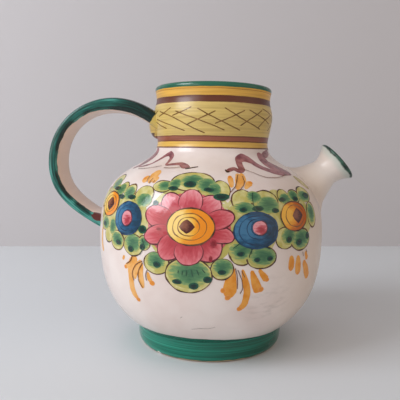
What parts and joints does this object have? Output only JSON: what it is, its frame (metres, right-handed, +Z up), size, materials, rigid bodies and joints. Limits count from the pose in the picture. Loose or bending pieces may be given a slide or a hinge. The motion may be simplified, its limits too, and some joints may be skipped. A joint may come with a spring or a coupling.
{
  "type": "pitcher",
  "caption": "Round-bellied glazed earthenware pitcher with a banded neck, a short trumpet spout, a strap handle and a foot ring, for holding and pouring a drink.",
  "frame": {"origin": "on the surface the pitcher stands on, under the middle of its length from handle to spout; the wheel axis is 6.77 mm from it along +X", "axes": "+Z up along the wheel axis, +X from the handle towards the spout, +Y away from the pictured side"},
  "size_m": [0.2114, 0.1562, 0.178],
  "materials": {
    "tin_glaze": "warm white tin glaze, satin gloss, painted with flowers",
    "lemon_glaze": "pale yellow glaze with brown bands and lattice",
    "copper_green_glaze": "brushed copper green glaze",
    "luting_slip": "bare fired slip"
  },
  "bodies": {
    "root": {"belly": "tin_glaze", "spout": "tin_glaze", "neck_collar": "lemon_glaze", "handle_pad": "lemon_glaze", "foot_ring": "copper_green_glaze", "handle_strap": "copper_green_glaze", "foot_slip": "luting_slip", "neck_slip": "luting_slip", "spout_slip": "luting_slip", "handle_neck_slip": "luting_slip", "handle_belly_slip": "luting_slip"}
  },
  "joints": []
}
